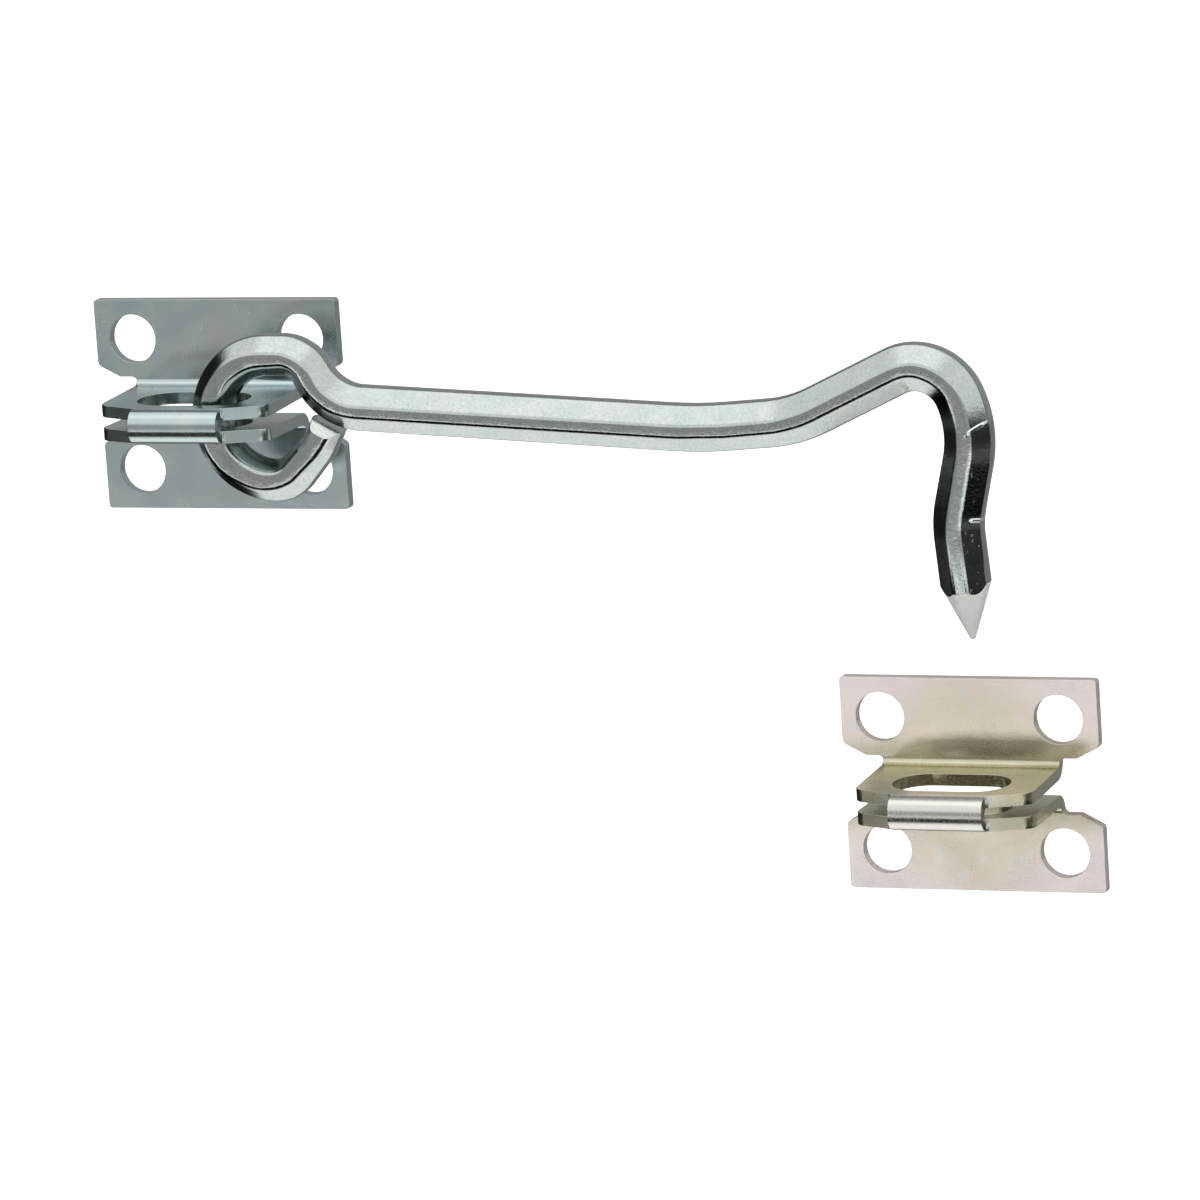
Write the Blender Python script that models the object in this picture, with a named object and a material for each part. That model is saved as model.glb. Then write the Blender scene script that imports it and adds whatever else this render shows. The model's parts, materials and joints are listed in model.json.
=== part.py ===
"""Wire gate hook on a folded sheet plate, with the loose catch plate that its point drops into.

The frame is the hook plate's: the origin is the middle of its back, +X runs along the hook,
+Y goes into the wall and +Z is up. Lengths are in metres.
"""

import math
from collections import namedtuple

import bmesh
import bpy
import numpy
from mathutils import Matrix, Vector

MM = 0.001

# Both plates come from one press tool: two flanges on the wall, and two ears folded out between them
# that are one strip of sheet, doubled back at the front.
SHEET = 1.7 * MM
FOLD_RADIUS = 1.0 * MM            # hollow side of the fold between flange and ear
EAR_GAP_BACK = 2.1 * MM           # between the ears at the wall
EAR_GAP_FRONT = 1.4 * MM          # between the ears where the strip doubles back
EAR_REACH = 17.6 * MM             # from the flanges' front to the strip's face
EAR_SIDE_REACH = 13.2 * MM        # from the flanges' front to the end of the ears' straight sides
EAR_WIDTH = 24.8 * MM
EAR_ROUND = 2.0 * MM              # where the ears' sides turn in to their cut corners
STRIP_WIDTH = 13.0 * MM           # front face that is left between the ears' cut corners
STRIP_STEP = 1.3 * MM             # that face stands this far in front of the cut corners
FLANGE_OVERHANG = 5.6 * MM        # flange's outer edge past the ears' side
FLANGE_SIDE_END = 5.5 * MM        # height at which a flange's outer edge turns in
SHOULDER_RUN = 2.4 * MM           # from the ears' side to the end of that slanting edge
SHOULDER_HEIGHT = 3.85 * MM       # height there, and of the level edge from there to the ears
CORNER_ROUND = 0.5 * MM           # flange's outer corners
RELIEF_RADIUS = 0.7 * MM          # round from that level edge into the ears' side
HOLE_DIAMETER = 6.8 * MM
HOLE_INSET = 5.5 * MM             # screw hole's centre from both outer edges
HOLE_WEB = 1.95 * MM              # from its rim down to the shoulder
SLOT_LENGTH = 16.2 * MM
SLOT_PLAY = 1.4 * MM              # from the bar to each long side of the slot
SLOT_MIDDLE_REACH = 9.0 * MM      # from the flanges' front to the slot's middle

# The hook is drawn wire, pressed flat in front and behind after bending.
WIRE_RADIUS = 3.3 * MM
BAR_DEPTH = 6.0 * MM
SIDE_ARC = math.radians(20)       # half the round that is left on each side of the bar
EYE_BAR = 5.8 * MM                # bar's width round the eye
SHANK_BAR = 6.6 * MM
LEG_BAR = 6.9 * MM
EYE_CLEARANCE = 1.45 * MM         # inside of the eye to the ears' web that it goes round
EYE_SETBACK = 0.9 * MM            # eye's centre from the ears' right side
EYE_FLOOR = 1.9 * MM              # eye's centre to the bend at the end of its straight bottom
EYE_FLOOR_BEND = 4.5 * MM
TAIL_SLOPE = math.radians(45.6)
TAIL_BEND = 6.0 * MM
TAIL_END_SLOPE = math.radians(62)
TAIL_END_LENGTH = 3.4 * MM
TAIL_END_BAR = 5.0 * MM
TAIL_GAP = 0.35 * MM              # end of the eye to the underside of the neck
TAIL_CHAMFER = 1.2 * MM
EYE_ROOF = 5.0 * MM               # eye's centre to the bend at the end of its straight top
EYE_ROOF_BEND = 4.5 * MM
NECK_LENGTH = 8.0 * MM
NECK_SLOPE = math.radians(-62.7)
NECK_BEND = 8.0 * MM
SHANK_LENGTH = 53.0 * MM
SHANK_SLOPE = math.radians(-3.25)
SHANK_BEND = 60.0 * MM
FOOT_LENGTH = 13.4 * MM
FOOT_SLOPE = math.radians(4.4)
FOOT_BEND = 20.0 * MM
RISE_LENGTH = 22.8 * MM
RISE_SLOPE = math.radians(25.3)
HUMP_BEND = 6.5 * MM
DROP_LENGTH = 11.6 * MM
DROP_SLOPE = math.radians(-69.3)
DROP_BEND = 14.6 * MM
LEG_LENGTH = 12.6 * MM
LEG_SLOPE = math.radians(-103.3)
LEG_BEND = 14.7 * MM
POINT_LENGTH = 16.1 * MM
POINT_SLOPE = math.radians(-85.7)
CONE_LENGTH = 7.3 * MM
TIP_RADIUS = 0.4 * MM

# The catch plate hangs below the hook's point, where the point swings back into its slot.
CATCH_BACKSET = 4.1 * MM          # from the point at rest back to the catch's middle
CATCH_DROP = 22.2 * MM            # from the point at rest down to the catch's middle

ARC_STEP = math.radians(6)
FOLD_STEP = math.radians(15)
ROUND_SEGMENTS = 32
CUTTER_MARGIN = 3.0 * MM

# What the pieces share
PLATE_WIDTH = EAR_WIDTH + 2 * FLANGE_OVERHANG
HOLE_RISE = SHOULDER_HEIGHT + HOLE_WEB + HOLE_DIAMETER / 2
PLATE_HEIGHT = 2 * (HOLE_RISE + HOLE_INSET)
FLANGE_FRONT = -SHEET
EAR_THICK = EAR_GAP_BACK / 2 + SHEET
SLOT_WIDTH = BAR_DEPTH + 2 * SLOT_PLAY
SLOT_Y = FLANGE_FRONT - SLOT_MIDDLE_REACH
EYE_X = EAR_WIDTH / 2 - EYE_SETBACK
EYE_RADIUS = math.hypot(EYE_X - SLOT_LENGTH / 2, EAR_THICK) + EYE_CLEARANCE + EYE_BAR / 2

# A stretch of the bar: how far and which way it runs to its bend, that bend's radius, and there the
# bar's width, the width of its front flat and how far the flat lies off the bar's middle.
Stretch = namedtuple("Stretch", "length slope bend width flat shift")

STRETCHES = (
    Stretch(NECK_LENGTH, NECK_SLOPE, NECK_BEND, SHANK_BAR - 0.2 * MM, 1.3 * MM, -0.25 * MM),
    Stretch(SHANK_LENGTH, SHANK_SLOPE, SHANK_BEND, SHANK_BAR, 1.3 * MM, -0.25 * MM),
    Stretch(FOOT_LENGTH, FOOT_SLOPE, FOOT_BEND, SHANK_BAR, 1.3 * MM, -0.25 * MM),
    Stretch(RISE_LENGTH, RISE_SLOPE, HUMP_BEND, SHANK_BAR, 1.5 * MM, -0.15 * MM),
    Stretch(DROP_LENGTH, DROP_SLOPE, DROP_BEND, LEG_BAR - 0.1 * MM, 1.8 * MM, 0.0),
    Stretch(LEG_LENGTH, LEG_SLOPE, LEG_BEND, LEG_BAR, 1.9 * MM, 0.0),
    Stretch(POINT_LENGTH, POINT_SLOPE, 0.0, LEG_BAR, 1.9 * MM, 0.0),
)


def clear_scene():
    for item in list(bpy.data.objects):
        bpy.data.objects.remove(item, do_unlink=True)


def plated_steel(name, colour, roughness):
    material = bpy.data.materials.new(name)
    material.use_nodes = True
    shader = material.node_tree.nodes["Principled BSDF"]
    shader.inputs["Base Color"].default_value = (*colour, 1.0)
    shader.inputs["Metallic"].default_value = 1.0
    shader.inputs["Roughness"].default_value = roughness
    return material


def new_object(name, mesh_data, material=None):
    """Turn a bmesh into an object, with smooth shading broken at its crisp edges."""
    bmesh.ops.recalc_face_normals(mesh_data, faces=mesh_data.faces)
    mesh = bpy.data.meshes.new(name)
    mesh_data.to_mesh(mesh)
    mesh_data.free()
    mesh.shade_smooth()
    mesh.set_sharp_from_angle(angle=math.radians(24))
    item = bpy.data.objects.new(name, mesh)
    bpy.context.scene.collection.objects.link(item)
    if material:
        mesh.materials.append(material)
    return item


def cut(target, cutter):
    """Take the cutter, which moves with its target, out of it."""
    cutter.parent = target
    cutter.hide_render = True
    cutter.display_type = "WIRE"
    modifier = target.modifiers.new(cutter.name, "BOOLEAN")
    modifier.operation = "DIFFERENCE"
    modifier.solver = "EXACT"
    modifier.object = cutter


def verts_of(geometry):
    return [item for item in geometry if isinstance(item, bmesh.types.BMVert)]


def prism(mesh_data, outline, run):
    """Draw a closed outline of points out along the vector run."""
    face = mesh_data.faces.new([mesh_data.verts.new(point) for point in outline])
    made = bmesh.ops.extrude_face_region(mesh_data, geom=[face])["geom"]
    bmesh.ops.translate(mesh_data, vec=run, verts=verts_of(made))


def arc(centre, radius, start, stop, steps):
    """Points (u, v) of an arc, its angles in radians."""
    angles = [start + (stop - start) * step / steps for step in range(steps + 1)]
    return [(centre[0] + radius * math.cos(a), centre[1] + radius * math.sin(a)) for a in angles]


def bend_path(corners, arc_step):
    """Line through corners (u, v, bend radius), and each corner's index among its points."""
    points = [Vector(corners[0][:2])]
    middles = [0]
    for before, corner, after in zip(corners, corners[1:], corners[2:]):
        apex = Vector(corner[:2])
        back = (Vector(before[:2]) - apex).normalized()
        ahead = (Vector(after[:2]) - apex).normalized()
        half = back.angle(ahead) / 2
        centre = apex + (back + ahead).normalized() * corner[2] / math.sin(half)
        spoke = apex + back * corner[2] / math.tan(half) - centre
        turn = math.copysign(math.pi - 2 * half, ahead.cross(back))
        steps = 2 * math.ceil(abs(turn) / arc_step / 2)
        for step in range(steps + 1):
            point = centre + Matrix.Rotation(turn * step / steps, 2) @ spoke
            if (point - points[-1]).length > 0.01 * MM:
                points.append(point)
            if step == steps // 2:
                middles.append(len(points) - 1)
    points.append(Vector(corners[-1][:2]))
    middles.append(len(points) - 1)
    return points, middles


def sheet_line():
    """Middle line of the folded sheet from its top edge to its bottom edge, as (y, z)."""
    wall = FLANGE_FRONT + SHEET / 2
    strip = FLANGE_FRONT - EAR_REACH + SHEET / 2
    ear_back = (EAR_GAP_BACK + SHEET) / 2
    ear_front = (EAR_GAP_FRONT + SHEET) / 2
    upper = [
        (wall, PLATE_HEIGHT / 2, 0.0),
        (wall, ear_back, FOLD_RADIUS + SHEET / 2),
        (strip, ear_front, 0.97 * ear_front),
    ]
    lower = [(y, -z, bend) for y, z, bend in reversed(upper)]
    return bend_path(upper + lower, FOLD_STEP)[0]


def waist_cutter(name):
    """What is cut from the blank on both sides of the ears, square to the wall."""
    mesh_data = bmesh.new()
    beyond = PLATE_WIDTH / 2 + CUTTER_MARGIN
    slant = (FLANGE_SIDE_END - SHOULDER_HEIGHT) / (FLANGE_OVERHANG - SHOULDER_RUN)
    relief_centre = (EAR_WIDTH / 2 + RELIEF_RADIUS, SHOULDER_HEIGHT - RELIEF_RADIUS)
    upper = arc(relief_centre, RELIEF_RADIUS, math.pi, math.pi / 2, 6)
    upper.append((EAR_WIDTH / 2 + SHOULDER_RUN, SHOULDER_HEIGHT))
    upper.append((beyond, FLANGE_SIDE_END + CUTTER_MARGIN * slant))
    waist = upper + [(x, -z) for x, z in reversed(upper)]
    front = FLANGE_FRONT - EAR_REACH - CUTTER_MARGIN
    through = CUTTER_MARGIN - front
    for side in (1, -1):
        prism(mesh_data, [(side * x, front, z) for x, z in waist], (0, through, 0))
    return new_object(name, mesh_data)


def screw_cutter(name):
    """The four screw holes."""
    mesh_data = bmesh.new()
    for side in (1, -1):
        for height in (1, -1):
            place = (
                side * (PLATE_WIDTH / 2 - HOLE_INSET),
                -SHEET / 2,
                height * HOLE_RISE,
            )
            bmesh.ops.create_cone(
                mesh_data,
                cap_ends=True,
                segments=ROUND_SEGMENTS,
                radius1=HOLE_DIAMETER / 2,
                radius2=HOLE_DIAMETER / 2,
                depth=SHEET + 2 * CUTTER_MARGIN,
                matrix=Matrix.Translation(place) @ Matrix.Rotation(math.pi / 2, 4, "X"),
            )
    return new_object(name, mesh_data)


def ear_cutter(name):
    """What is cut from the blank square to the ears: their front corners, and the slot through both."""
    mesh_data = bmesh.new()
    bottom = -EAR_THICK - CUTTER_MARGIN
    through = (0, 0, -2 * bottom)
    half_ear = EAR_WIDTH / 2
    half_strip = STRIP_WIDTH / 2
    side_end = FLANGE_FRONT - EAR_SIDE_REACH
    strip_face = FLANGE_FRONT - EAR_REACH
    cut_edge = [
        (half_strip, strip_face + STRIP_STEP, 0.0),
        (half_ear, side_end, EAR_ROUND),
        (half_ear, FLANGE_FRONT, 0.0),
    ]
    corner = bend_path(cut_edge, FOLD_STEP)[0][:-1]
    beyond = half_ear + CUTTER_MARGIN
    front = strip_face - CUTTER_MARGIN
    corner += [(beyond, corner[-1].y), (beyond, front), (half_strip, front)]
    for side in (1, -1):
        prism(mesh_data, [(side * x, y, bottom) for x, y in corner], through)
    end = SLOT_LENGTH / 2 - SLOT_WIDTH / 2
    right = arc((end, SLOT_Y), SLOT_WIDTH / 2, -math.pi / 2, math.pi / 2, ROUND_SEGMENTS // 2)
    left = arc((-end, SLOT_Y), SLOT_WIDTH / 2, math.pi / 2, 3 * math.pi / 2, ROUND_SEGMENTS // 2)
    prism(mesh_data, [(x, y, bottom) for x, y in right + left], through)
    return new_object(name, mesh_data)


def folded_plate(name, place, material):
    """One pressing: the sheet's middle surface, thickened and then cut to its outline."""
    mesh_data = bmesh.new()
    verts = [mesh_data.verts.new((-PLATE_WIDTH / 2, y, z)) for y, z in sheet_line()]
    edges = [mesh_data.edges.new(pair) for pair in zip(verts, verts[1:])]
    made = bmesh.ops.extrude_edge_only(mesh_data, edges=edges)["geom"]
    bmesh.ops.translate(mesh_data, vec=(PLATE_WIDTH, 0, 0), verts=verts_of(made))
    bmesh.ops.bevel(
        mesh_data,
        geom=[vert for vert in mesh_data.verts if len(vert.link_edges) == 2],
        affect="VERTICES",
        offset=CORNER_ROUND,
        offset_type="OFFSET",
        segments=3,
        profile=0.5,
        material=-1,
    )
    plate = new_object(name, mesh_data, material)
    plate.location = place
    wall = plate.modifiers.new("sheet thickness", "SOLIDIFY")
    wall.thickness = SHEET
    wall.offset = 0.0
    wall.use_even_offset = True
    cut(plate, waist_cutter(name + "_waist_cutter"))
    cut(plate, screw_cutter(name + "_screw_cutter"))
    cut(plate, ear_cutter(name + "_ear_cutter"))
    return plate


def bar_section(width, flat, shift):
    """Section of the pressed wire as (across, depth): flats, bevels and what is left of its round."""
    rounding = arc((width / 2 - WIRE_RADIUS, 0.0), WIRE_RADIUS, -SIDE_ARC, SIDE_ARC, 4)
    front = [(shift - flat / 2, -BAR_DEPTH / 2), (shift + flat / 2, -BAR_DEPTH / 2)]
    back = [(across, -depth) for across, depth in reversed(front)]
    return front + rounding + back + [(-across, -depth) for across, depth in rounding]


def shank_corners():
    """Corners (x, z, bend) from the eye's top to the point, from the eye's centre."""
    corners = [(EYE_ROOF, EYE_RADIUS, EYE_ROOF_BEND)]
    for stretch in STRETCHES:
        x, z = corners[-1][:2]
        x += stretch.length * math.cos(stretch.slope)
        z += stretch.length * math.sin(stretch.slope)
        corners.append((x, z, stretch.bend))
    return corners


def tail(floor, neck):
    """End and knee of the eye's tail, which rises from the floor as far as the neck above it allows."""
    rise = Vector((math.cos(TAIL_SLOPE), math.sin(TAIL_SLOPE)))
    run = Vector((math.cos(TAIL_END_SLOPE), math.sin(TAIL_END_SLOPE)))
    across = run.orthogonal() * TAIL_END_BAR / 2
    clear, blocked = 0.0, 2 * EYE_RADIUS
    for _ in range(24):
        length = (clear + blocked) / 2
        end = floor + rise * length + run * TAIL_END_LENGTH
        gap = min((end + side * across - point).length for side in (-1, 0, 1) for point in neck)
        if gap > SHANK_BAR / 2 + TAIL_GAP:
            clear = length
        else:
            blocked = length
    knee = floor + rise * clear
    return knee + run * TAIL_END_LENGTH, knee


def hook_line():
    """Middle line of the bar as stations (place, width, flat, shift), from the eye's end to the point."""
    shank = shank_corners()
    floor = Vector((EYE_FLOOR, -EYE_RADIUS))
    neck = bend_path([(0.0, EYE_RADIUS, 0.0)] + shank, ARC_STEP)[0]
    end, knee = tail(floor, neck)
    corners = [
        (*end, 0.0),
        (*knee, TAIL_BEND),
        (*floor, EYE_FLOOR_BEND),
        (-EYE_RADIUS, -EYE_RADIUS, EYE_RADIUS),
        (-EYE_RADIUS, EYE_RADIUS, EYE_RADIUS),
    ]
    points, middles = bend_path(corners + shank, ARC_STEP)
    lengths = numpy.cumsum([0.0] + [(b - a).length for a, b in zip(points, points[1:])])
    widths = [TAIL_END_BAR, TAIL_END_BAR, EYE_BAR, EYE_BAR, EYE_BAR, EYE_BAR]
    flats = [3.0 * MM, 2.6 * MM, 2.2 * MM, 3.0 * MM, 2.6 * MM, 1.5 * MM]
    shifts = [0.0, -0.2 * MM, -0.4 * MM, -0.2 * MM, -0.3 * MM, -0.3 * MM]
    rows = (
        widths + [stretch.width for stretch in STRETCHES],
        flats + [stretch.flat for stretch in STRETCHES],
        shifts + [stretch.shift for stretch in STRETCHES],
    )
    width, flat, shift = (numpy.interp(lengths, lengths[middles], row) for row in rows)
    return list(zip(points, width, flat, shift))


def bar_rings():
    """The bar's section at each station, square to the line there."""
    stations = hook_line()
    points = [station[0] for station in stations]
    rings = []
    for index, (point, width, flat, shift) in enumerate(stations):
        before = points[max(index - 1, 0)]
        after = points[min(index + 1, len(points) - 1)]
        arriving = (point - before).normalized()
        leaving = (after - point).normalized()
        run = (arriving + leaving).normalized()
        across = Vector((-run.y, run.x))
        places = [(point + across * u, v) for u, v in bar_section(width, flat, shift)]
        rings.append([Vector((place.x, v, place.y)) for place, v in places])
    return rings, points


def extend(mesh_data, loop, ring):
    """Extrude a closed loop of vertices, and move the copies onto the next ring of points."""
    edges = [mesh_data.edges.get(pair) for pair in zip(loop, loop[1:] + loop[:1])]
    fresh = set(verts_of(bmesh.ops.extrude_edge_only(mesh_data, edges=edges)["geom"]))
    copies = []
    for vert, place in zip(loop, ring):
        copy = next(edge.other_vert(vert) for edge in vert.link_edges if edge.other_vert(vert) in fresh)
        copy.co = place
        copies.append(copy)
    return copies


def chamfer_tail(mesh_data, points):
    """Take the front edge off the eye's cut end at 45 degrees, while the mesh is only its first stretch."""
    run = (points[0] - points[1]).normalized()
    outwards = Vector((run.x, -1.0, run.y)).normalized()
    edge = Vector((points[0].x, -BAR_DEPTH / 2 + TAIL_CHAMFER, points[0].y))
    everything = mesh_data.verts[:] + mesh_data.edges[:] + mesh_data.faces[:]
    sliced = bmesh.ops.bisect_plane(
        mesh_data, geom=everything, plane_co=edge, plane_no=outwards, clear_outer=True
    )
    rim = [item for item in sliced["geom_cut"] if isinstance(item, bmesh.types.BMEdge)]
    bmesh.ops.edgeloop_fill(mesh_data, edges=rim)


def point_cutter(name, tip, run):
    """Everything round the cone of the hook's point, turned about the leg's end."""
    mesh_data = bmesh.new()
    slope = (LEG_BAR / 2 - TIP_RADIUS) / CONE_LENGTH
    outer = LEG_BAR + CUTTER_MARGIN
    profile = [
        (0.0, -CUTTER_MARGIN),
        (outer, -CUTTER_MARGIN),
        (outer, (outer - TIP_RADIUS) / slope),
        (TIP_RADIUS, 0.0),
        (0.0, 0.0),
    ]
    verts = [mesh_data.verts.new((radius, 0.0, height)) for radius, height in profile]
    edges = [mesh_data.edges.new(pair) for pair in zip(verts, verts[1:])]
    bmesh.ops.spin(
        mesh_data,
        geom=verts + edges,
        axis=(0, 0, 1),
        cent=(0, 0, 0),
        angle=math.tau,
        steps=ROUND_SEGMENTS,
        use_merge=True,
    )
    bmesh.ops.remove_doubles(mesh_data, verts=mesh_data.verts, dist=0.001 * MM)
    upwards = Vector((-run.x, 0.0, -run.y))
    turn = upwards.to_track_quat("Z", "Y").to_matrix().to_4x4()
    bmesh.ops.transform(mesh_data, matrix=Matrix.Translation((tip.x, 0.0, tip.y)) @ turn, verts=mesh_data.verts)
    return new_object(name, mesh_data)


def hook_bar(name, place, material):
    """The bent bar, with its origin on the axis that it swings about."""
    rings, points = bar_rings()
    mesh_data = bmesh.new()
    loop = [mesh_data.verts.new(place) for place in rings[0]]
    mesh_data.faces.new(loop)
    loop = extend(mesh_data, loop, rings[1])
    chamfer_tail(mesh_data, points)
    for ring in rings[2:]:
        loop = extend(mesh_data, loop, ring)
    mesh_data.faces.new(loop)
    hook = new_object(name, mesh_data, material)
    hook.location = place
    run = (points[-1] - points[-2]).normalized()
    cut(hook, point_cutter(name + "_point_cutter", points[-1], run))
    return hook


def main():
    clear_scene()
    folded_plate("hook_plate", (0.0, 0.0, 0.0), plated_steel("blue_zinc", (0.30, 0.36, 0.37), 0.28))
    hook_bar("hook", (EYE_X, SLOT_Y, 0.0), plated_steel("bright_zinc", (0.38, 0.43, 0.43), 0.2))
    tip_x, tip_z = shank_corners()[-1][:2]
    catch = (EYE_X + tip_x - CATCH_BACKSET, 0.0, tip_z - CATCH_DROP)
    folded_plate("catch_plate", catch, plated_steel("passivated_zinc", (0.52, 0.45, 0.41), 0.3))


main()
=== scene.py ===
"""Looks of the wire gate hook and its two folded plates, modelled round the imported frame."""

import json
import math

import bmesh
import bpy
import numpy
from mathutils import Matrix, Vector, noise


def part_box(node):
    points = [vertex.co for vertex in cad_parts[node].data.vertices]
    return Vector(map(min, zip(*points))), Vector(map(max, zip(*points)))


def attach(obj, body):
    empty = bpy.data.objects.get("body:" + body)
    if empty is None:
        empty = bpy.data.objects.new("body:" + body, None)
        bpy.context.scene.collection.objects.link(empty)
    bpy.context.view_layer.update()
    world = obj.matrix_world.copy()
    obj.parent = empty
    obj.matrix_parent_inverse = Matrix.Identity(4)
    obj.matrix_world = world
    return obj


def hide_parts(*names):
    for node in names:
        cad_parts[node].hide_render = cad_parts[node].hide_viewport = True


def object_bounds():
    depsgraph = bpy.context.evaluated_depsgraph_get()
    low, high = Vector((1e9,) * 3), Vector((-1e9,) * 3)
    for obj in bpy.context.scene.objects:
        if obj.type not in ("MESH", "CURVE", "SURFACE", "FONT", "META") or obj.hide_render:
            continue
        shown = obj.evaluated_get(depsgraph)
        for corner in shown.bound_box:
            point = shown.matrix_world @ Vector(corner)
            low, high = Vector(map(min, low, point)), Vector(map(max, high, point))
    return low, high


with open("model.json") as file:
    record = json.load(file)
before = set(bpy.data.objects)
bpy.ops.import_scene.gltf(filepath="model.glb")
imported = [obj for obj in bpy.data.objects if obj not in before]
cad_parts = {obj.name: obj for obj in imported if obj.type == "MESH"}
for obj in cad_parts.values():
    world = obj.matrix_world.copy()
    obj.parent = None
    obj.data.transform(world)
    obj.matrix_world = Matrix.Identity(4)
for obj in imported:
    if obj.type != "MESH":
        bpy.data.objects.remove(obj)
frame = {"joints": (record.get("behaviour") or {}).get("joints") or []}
CAD_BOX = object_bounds()

bl_info = {
    "name": "Gate Hook",
    "version": (1, 0, 0),
    "blender": (4, 5, 0),
    "location": "3D View > Sidebar > Gate Hook",
    "description": "Models a wire gate hook, the folded plate it hangs in and its catch plate",
    "category": "Object",
}

MM = 0.001

# Places that come from the frame
PLATE_LOW, PLATE_HIGH = (Vector(corner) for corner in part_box("hook_plate"))
CATCH_LOW, CATCH_HIGH = (Vector(corner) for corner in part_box("catch_plate"))
EYE = Vector(frame["joints"][0]["pos_m"])


# Sizes and colours

def length(name, description, millimetres, low=0.0):
    return bpy.props.FloatProperty(
        name=name,
        description=description,
        default=millimetres * MM,
        min=low,
        subtype="DISTANCE",
        unit="LENGTH",
    )


def degrees(name, description, value):
    return bpy.props.FloatProperty(
        name=name,
        description=description,
        default=math.radians(value),
        subtype="ANGLE",
        unit="ROTATION",
    )


def colour(name, description, value):
    return bpy.props.FloatVectorProperty(
        name=name,
        description=description,
        default=value,
        size=3,
        min=0.0,
        max=1.0,
        subtype="COLOR",
    )


class PlateSizes(bpy.types.PropertyGroup):
    """Sizes of the folded plates, which both come from one press tool."""

    sheet: length("Sheet", "Thickness of the steel sheet", 1.7)
    fold_radius: length("Fold Radius", "Hollow side of the fold between flange and ear", 1.0)
    ear_gap_back: length("Ear Gap at Wall", "Gap between the ears at the wall", 2.1)
    ear_gap_front: length("Ear Gap at Front", "Gap between the ears where the strip folds", 1.4)
    ear_width: length("Ear Width", "Width of the ears", 24.8)
    ear_side: length("Ear Side", "Flange's front to the end of the ears' straight sides", 13.2)
    ear_round: length("Ear Corner", "Radius of the ears' outer corners", 2.0)
    strip_width: length("Strip Width", "Front face between the ears' cut corners", 13.0)
    strip_step: length("Strip Step", "How far the front face stands before the cut corners", 1.3)
    side_end: length("Flange Side End", "Height at which a flange's outer edge turns in", 5.5)
    shoulder_run: length("Shoulder Run", "Ears' side to the end of the slanting edge", 2.4)
    shoulder_height: length("Shoulder Height", "Height of the level edge beside the ears", 3.85)
    relief: length("Relief Radius", "Round from the level edge into the ears' side", 0.7)
    corner_round: length("Flange Corner", "Radius of the flanges' outer corners", 0.5)
    shoulder_round: length("Shoulder Corner", "Radius where the flange's side turns in", 0.8)
    hole: length("Screw Hole", "Diameter of the screw holes", 6.8)
    hole_inset: length("Hole Inset", "Screw hole's centre from both outer edges", 5.5)
    slot_length: length("Slot Length", "Length of the slots through both ears", 16.2)
    slot_width: length("Slot Width", "Width of the slots through both ears", 8.8)
    slot_reach: length("Slot Reach", "Flange's front to the slot's middle", 9.0)
    edge: length("Sheared Edge", "Round of the sheared edges", 0.16)


class HookSizes(bpy.types.PropertyGroup):
    """Sizes of the pressed bar at its bends."""

    depth: length("Bar Depth", "Bar's thickness from front flat to back flat", 6.0)
    wire: length("Wire Radius", "Radius of the drawn wire before pressing", 3.3)
    side_arc: degrees("Side Arc", "Half the round that is left on each side of the bar", 20.0)
    eye_bar: length("Eye Bar", "Bar's width round the eye", 5.8)
    tail_bar: length("Tail Bar", "Bar's width at the eye's cut end", 5.0)
    shank_bar: length("Shank Bar", "Bar's width along the shank", 6.6)
    leg_bar: length("Leg Bar", "Bar's width down the leg", 6.9)
    flat_edge: length("Flat Edge", "Round at the borders of the pressed flats", 1.1)
    side_edge: length("Side Edge", "Round between the bevels and the bar's round sides", 0.6)
    waver: length("Waver", "How far the borders of the pressed flats wander", 0.12)
    tail_chamfer: length("Tail Chamfer", "Front edge of the eye's cut end", 1.2)
    cone: length("Cone Length", "Length of the turned point", 7.3)
    tip: length("Tip Radius", "Round of the point's end", 0.45)


class FinishColours(bpy.types.PropertyGroup):
    """Colours of the zinc finishes and of the stage."""

    plate: colour("Plate Zinc", "Blue-grey zinc of the hook plate", (0.49, 0.58, 0.59))
    plate_cloud: colour("Plate Clouds", "Paler clouds in the hook plate's zinc", (0.53, 0.58, 0.57))
    plate_warm: colour("Plate Stains", "Warm stains in the hook plate's zinc", (0.56, 0.55, 0.51))
    bar: colour("Bar Zinc", "Bright zinc of the hook", (0.455, 0.51, 0.50))
    bar_cloud: colour("Bar Clouds", "Warmer clouds in the hook's zinc", (0.49, 0.51, 0.485))
    point: colour("Turned Point", "Turned cone of the hook's point", (0.98, 0.98, 0.94))
    straw: colour("Passivation Straw", "Tint of the catch plate's middle", (0.82, 0.745, 0.60))
    rose: colour("Passivation Rose", "Tint of the catch plate's ends", (0.99, 0.885, 0.87))
    lilac: colour("Passivation Lilac", "Faint blotches on the catch plate", (0.84, 0.86, 0.92))
    # Darker olive at the catch plate's fold and ears: the passivation's own tint plus painted shade
    # in the fold.
    olive_and_fold_shade: colour("Passivation Olive", "Tint of the catch plate's fold", (0.55, 0.53, 0.38))
    strip: colour("Passivation Strip", "Tint of the catch plate's front strip", (0.64, 0.62, 0.58))
    floor: colour("Floor", "Pale floor and backdrop", (0.92, 0.92, 0.92))


# Shader nodes

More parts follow.
